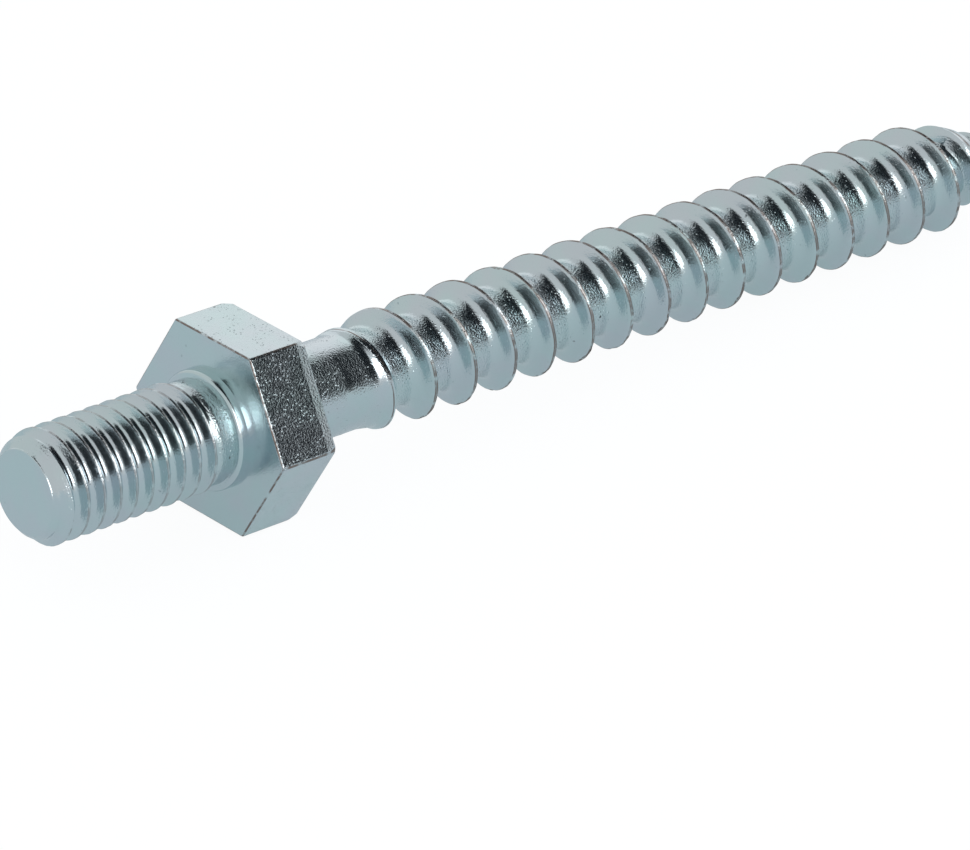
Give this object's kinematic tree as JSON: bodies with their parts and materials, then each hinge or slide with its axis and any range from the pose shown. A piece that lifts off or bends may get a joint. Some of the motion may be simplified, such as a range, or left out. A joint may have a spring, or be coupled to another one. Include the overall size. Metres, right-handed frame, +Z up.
{
  "type": "hex-collar hanger bolt",
  "caption": "Hanger bolt: short machine-threaded stud, hexagonal spanner collar, plain shank and a long coarse wood thread with a cone point.",
  "frame": {"origin": "on the ground under the middle of the lying bolt's bounding box", "axes": "+X along the bolt from the machine-threaded stud to the point, +Z up from the ground, one flat of the collar down; the bolt's own axis dips 2.3 degrees below +X towards the point"},
  "size_m": [0.07, 0.0114, 0.0099],
  "materials": {
    "zinc_plated_steel": "bright blue zinc plating, satin, lightly pitted and worn at the edges"
  },
  "bodies": {
    "root": {"hanger_bolt": "zinc_plated_steel"}
  },
  "joints": []
}
